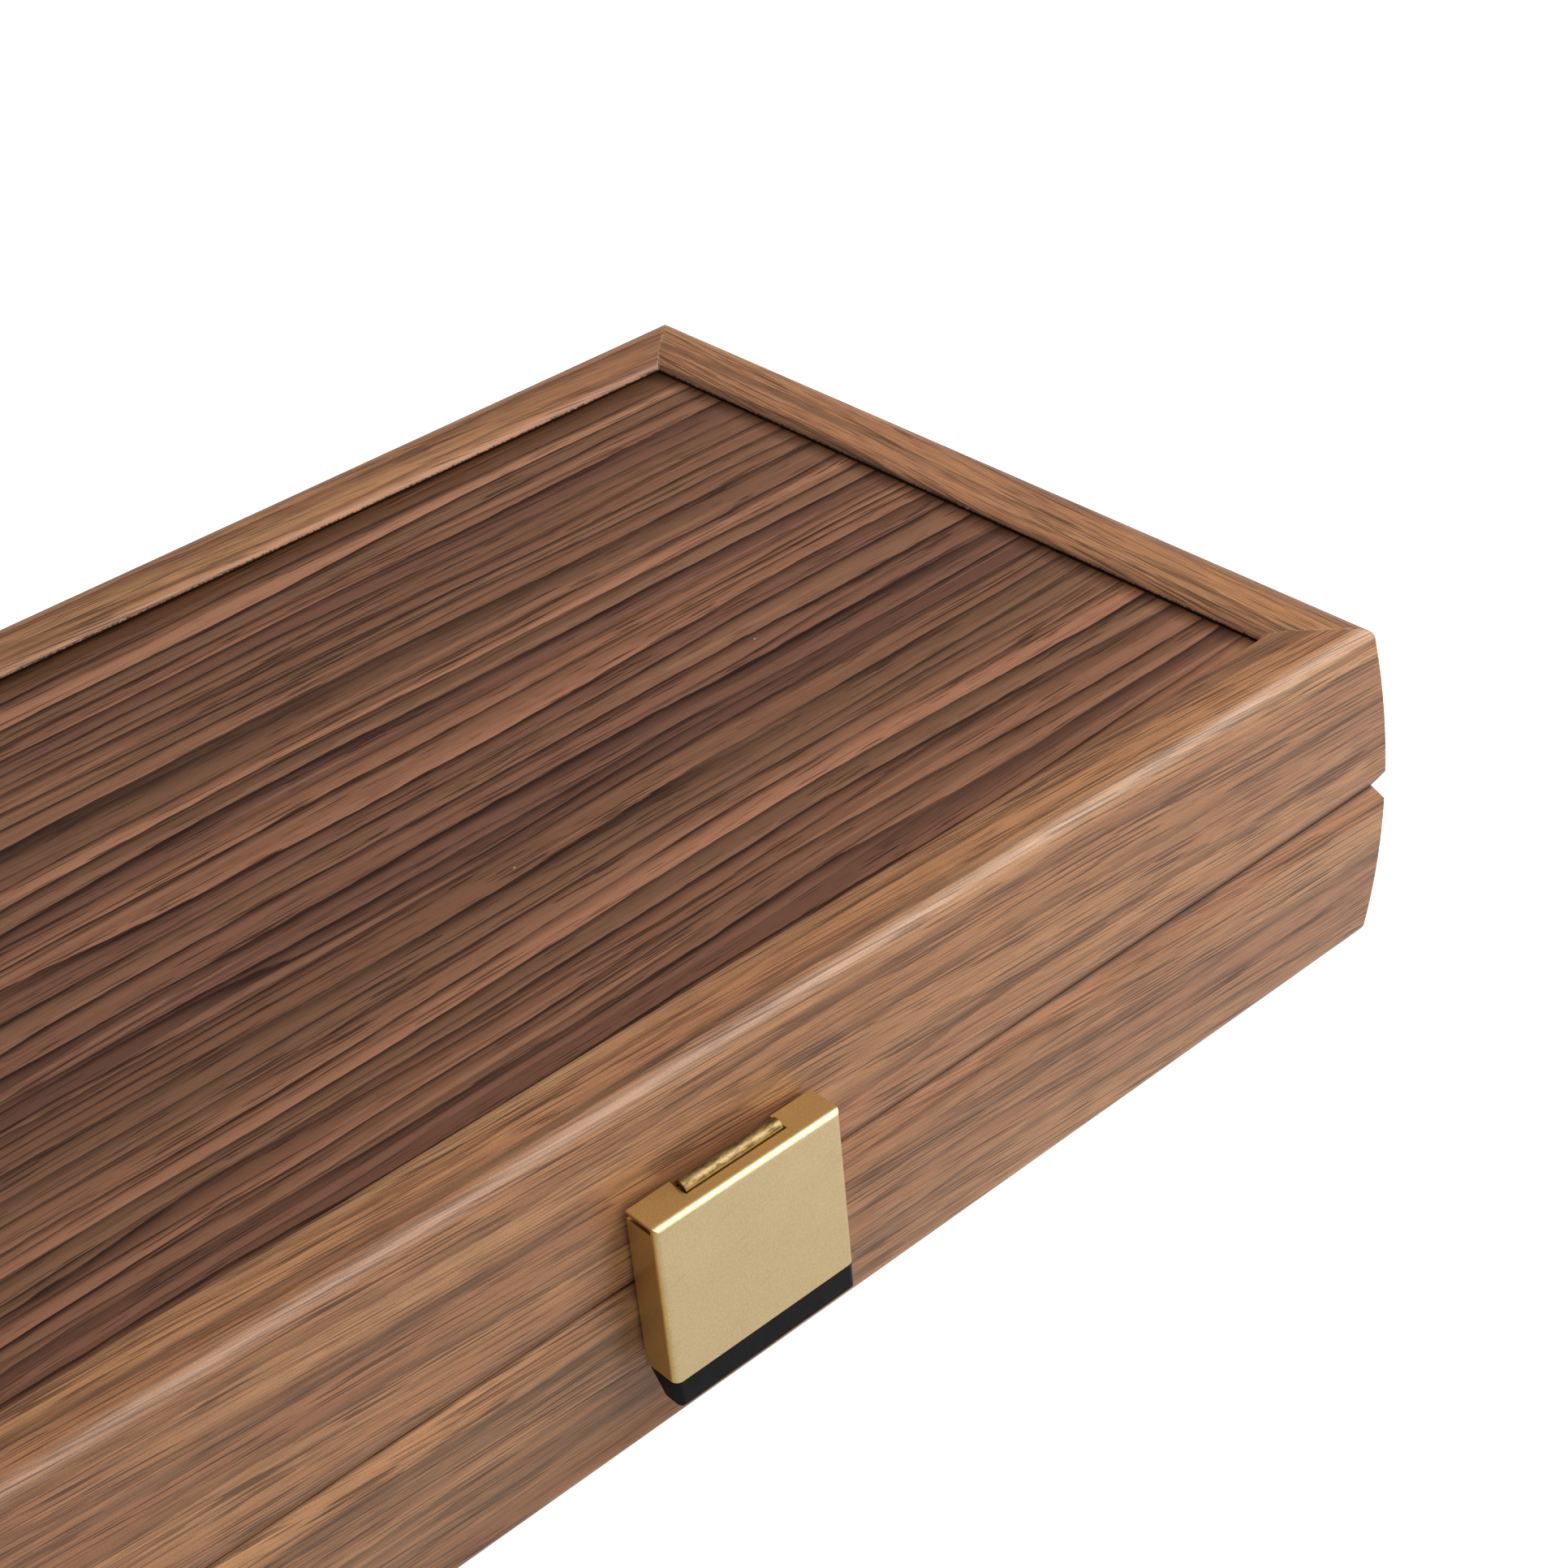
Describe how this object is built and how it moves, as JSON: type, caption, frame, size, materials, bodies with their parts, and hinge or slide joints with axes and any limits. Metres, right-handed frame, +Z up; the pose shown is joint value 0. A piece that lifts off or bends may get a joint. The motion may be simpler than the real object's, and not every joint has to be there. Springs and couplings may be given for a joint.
{
  "type": "backgammon case",
  "caption": "Folding backgammon case: two mitred trays hinged at the back, each with an inlaid playing field, shut by a sheet-brass magnetic clasp that hangs at the front.",
  "frame": {"origin": "middle of the shut case's bounding box, at the bottom of the lower rails", "axes": "+X along the case to the right, -Y to the clasp, +Y to the hinges, +Z up"},
  "size_m": [0.275, 0.1788, 0.058],
  "materials": {
    "walnut_foil": "satin walnut foil, fine dark pores",
    "striped_walnut": "satin striped walnut veneer",
    "playing_field": "satin oak-coloured veneer",
    "pale_veneer": "satin maple veneer",
    "dark_veneer": "satin dark walnut veneer",
    "sheet_brass": "satin, finely scratched",
    "plated_steel": "satin plated",
    "magnet_nickel": "nickel plated",
    "black_plastic": "glossy black"
  },
  "bodies": {
    "lower_tray": {"lower_front_rail": "walnut_foil", "lower_back_rail": "walnut_foil", "lower_left_rail": "walnut_foil", "lower_right_rail": "walnut_foil", "lower_outer_panel": "striped_walnut", "lower_play_panel": "playing_field", "lower_point_left_1": "dark_veneer", "lower_point_left_2": "pale_veneer", "lower_point_left_3": "dark_veneer", "lower_point_left_4": "pale_veneer", "lower_point_left_5": "dark_veneer", "lower_point_left_6": "pale_veneer", "lower_point_right_1": "pale_veneer", "lower_point_right_2": "dark_veneer", "lower_point_right_3": "pale_veneer", "lower_point_right_4": "dark_veneer", "lower_point_right_5": "pale_veneer", "lower_point_right_6": "dark_veneer", "hinge_left_lower_leaf": "sheet_brass", "hinge_left_lower_screw_1": "plated_steel", "hinge_left_lower_screw_2": "plated_steel", "hinge_right_lower_leaf": "sheet_brass", "hinge_right_lower_screw_1": "plated_steel", "hinge_right_lower_screw_2": "plated_steel", "hinge_left_pin": "plated_steel", "hinge_right_pin": "plated_steel", "clasp_strike": "plated_steel", "clasp_strike_screw_1": "plated_steel", "clasp_strike_screw_2": "plated_steel"},
    "upper_tray": {"upper_front_rail": "walnut_foil", "upper_back_rail": "walnut_foil", "upper_left_rail": "walnut_foil", "upper_right_rail": "walnut_foil", "upper_outer_panel": "striped_walnut", "upper_play_panel": "playing_field", "upper_point_left_1": "pale_veneer", "upper_point_left_2": "dark_veneer", "upper_point_left_3": "pale_veneer", "upper_point_left_4": "dark_veneer", "upper_point_left_5": "pale_veneer", "upper_point_left_6": "dark_veneer", "upper_point_right_1": "dark_veneer", "upper_point_right_2": "pale_veneer", "upper_point_right_3": "dark_veneer", "upper_point_right_4": "pale_veneer", "upper_point_right_5": "dark_veneer", "upper_point_right_6": "pale_veneer", "hinge_left_upper_leaf": "sheet_brass", "hinge_left_upper_screw_1": "plated_steel", "hinge_left_upper_screw_2": "plated_steel", "hinge_right_upper_leaf": "sheet_brass", "hinge_right_upper_screw_1": "plated_steel", "hinge_right_upper_screw_2": "plated_steel", "clasp_bracket": "sheet_brass", "clasp_bracket_screw_1": "plated_steel", "clasp_bracket_screw_2": "plated_steel"},
    "clasp_flap": {"clasp_cover": "sheet_brass", "clasp_block": "black_plastic", "clasp_magnet": "magnet_nickel"}
  },
  "joints": [
    {"name": "lid_hinge", "type": "hinge", "parent": "lower_tray", "child": "upper_tray", "pos_m": [0, 0.08737, 0.029], "axis": [-1, 0, 0], "range_deg": [0, 180]},
    {"name": "clasp_hinge", "type": "hinge", "parent": "upper_tray", "child": "clasp_flap", "pos_m": [0, -0.08518, 0.04305], "axis": [-1, 0, 0], "range_deg": [0, 100]}
  ]
}
